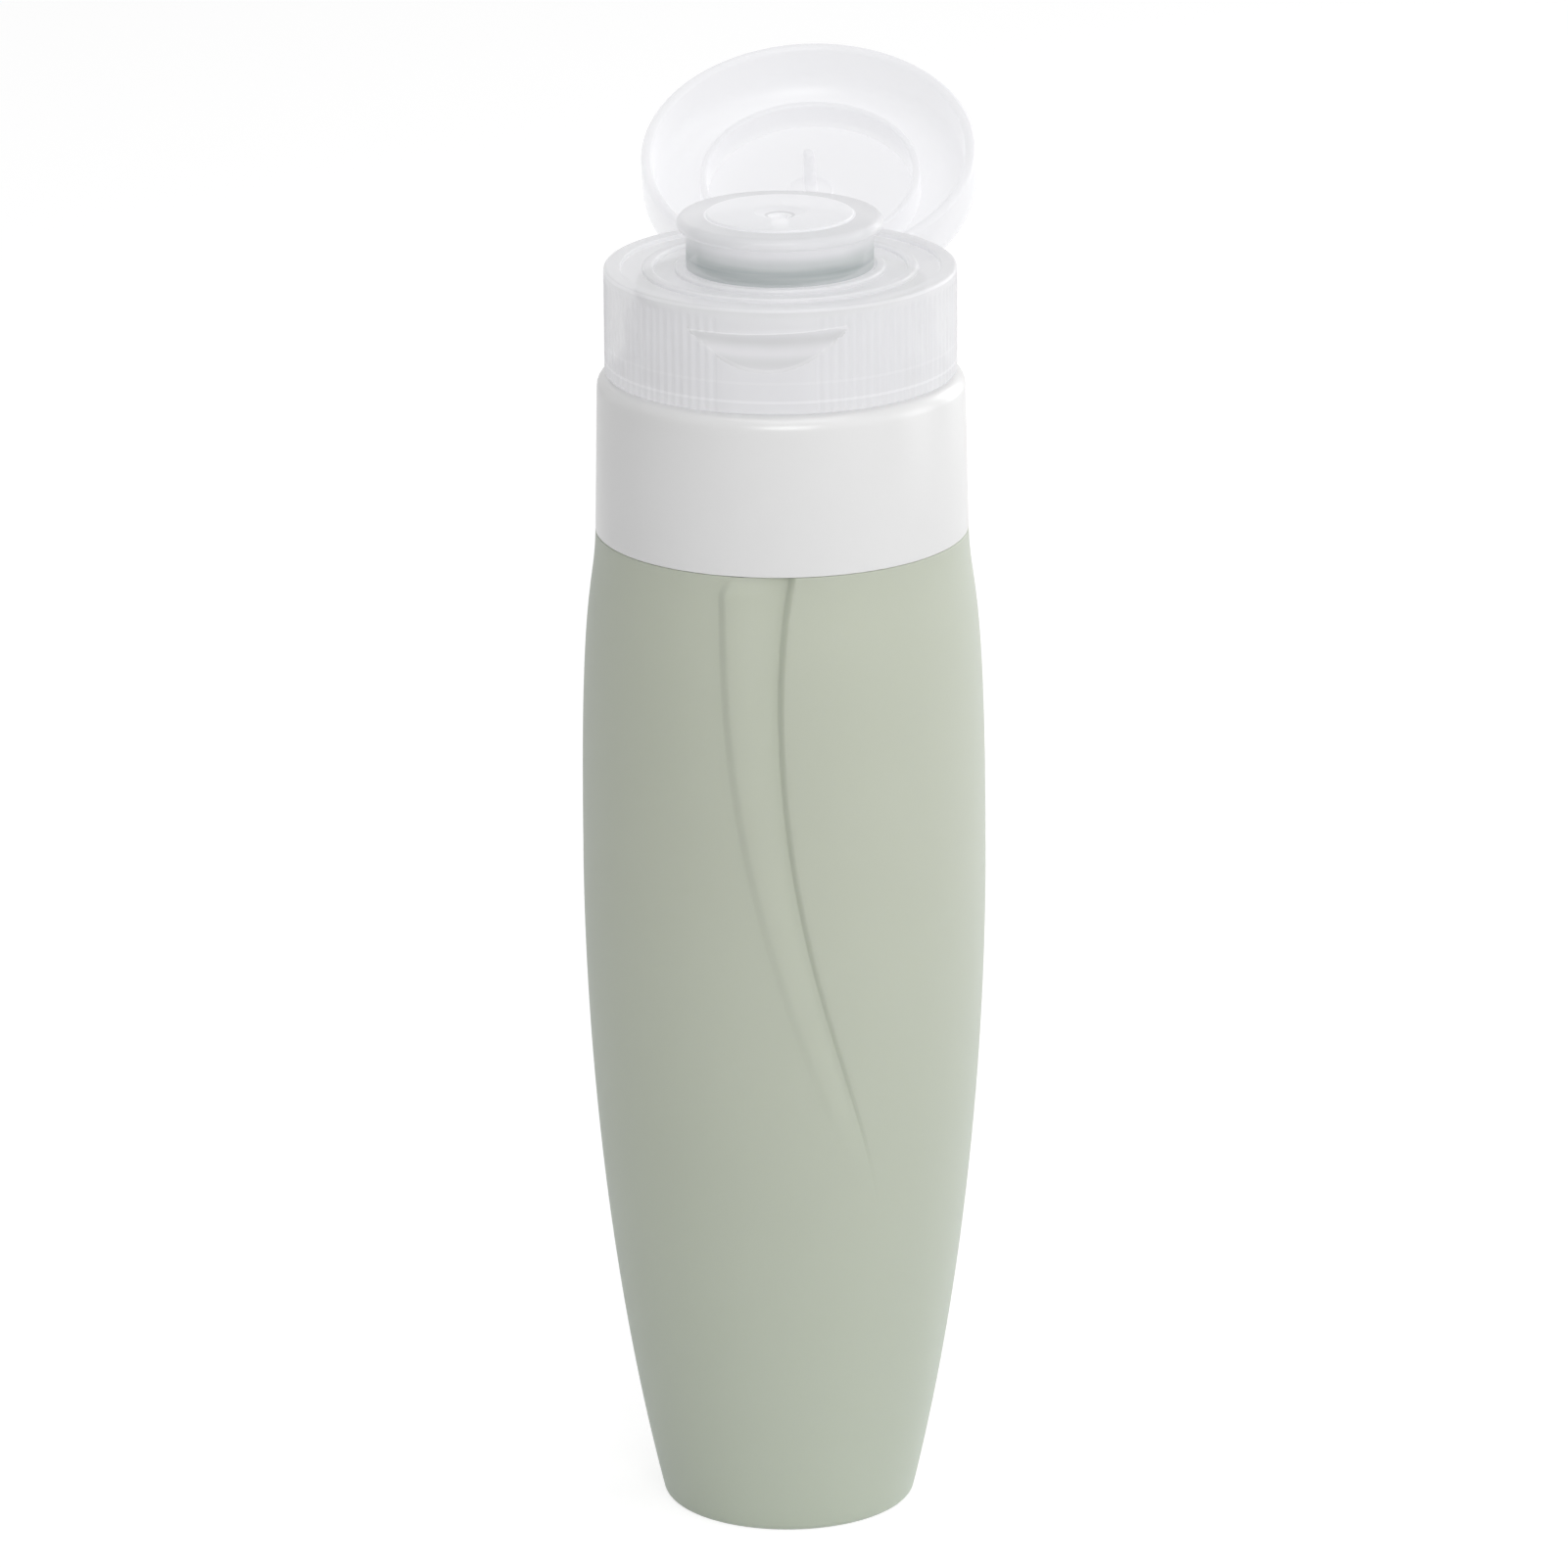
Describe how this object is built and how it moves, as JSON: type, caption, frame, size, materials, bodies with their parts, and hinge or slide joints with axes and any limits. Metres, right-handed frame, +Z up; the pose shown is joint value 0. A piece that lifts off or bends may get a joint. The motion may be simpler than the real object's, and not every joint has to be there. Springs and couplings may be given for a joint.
{
  "type": "travel squeeze bottle",
  "caption": "Soft silicone squeeze bottle with a rigid collar, a threaded neck and a ribbed screw cap with a mushroom spout and hinged flip lid, shown open.",
  "frame": {"origin": "centre of the flat face that the bottle stands on, on the bottle's axis", "axes": "+Z up along the bottle's axis, -Y towards the thumb notch at the front, +Y towards the lid's hinge, +X to the right seen from the front"},
  "size_m": [0.042, 0.0762, 0.1453],
  "materials": {
    "sage_silicone": "soft satin silicone",
    "white_gloss": "polished opaque white",
    "natural_plastic": "natural translucent",
    "gasket_rubber": "matte",
    "frosted_plastic": "frosted translucent"
  },
  "bodies": {
    "bottle": {"silicone_body": "sage_silicone", "collar": "white_gloss", "neck_insert": "natural_plastic"},
    "seal": {"sealing_gasket": "gasket_rubber"},
    "cap": {"cap_base": "frosted_plastic", "living_hinge": "frosted_plastic"},
    "lid": {"lid": "frosted_plastic"}
  },
  "joints": [
    {"name": "cap_lift", "type": "slide", "parent": "bottle", "child": "seal", "axis": [0, 0, 1], "range_m": [0, 0.0038]},
    {"name": "cap_turn", "type": "hinge", "parent": "seal", "child": "cap", "pos_m": [0, 0, 0.12335], "axis": [0, 0, 1], "range_deg": [0, 450]},
    {"name": "lid_flip", "type": "hinge", "parent": "cap", "child": "lid", "pos_m": [0, 0.0187, 0.13152], "axis": [-1, 0, 0], "range_deg": [-153.2, 13.6], "deforming": ["living_hinge"]}
  ],
  "couplings": [
    {"joint": "cap_lift", "follows": "cap_turn", "m_per_rad": 0.00047746}
  ]
}
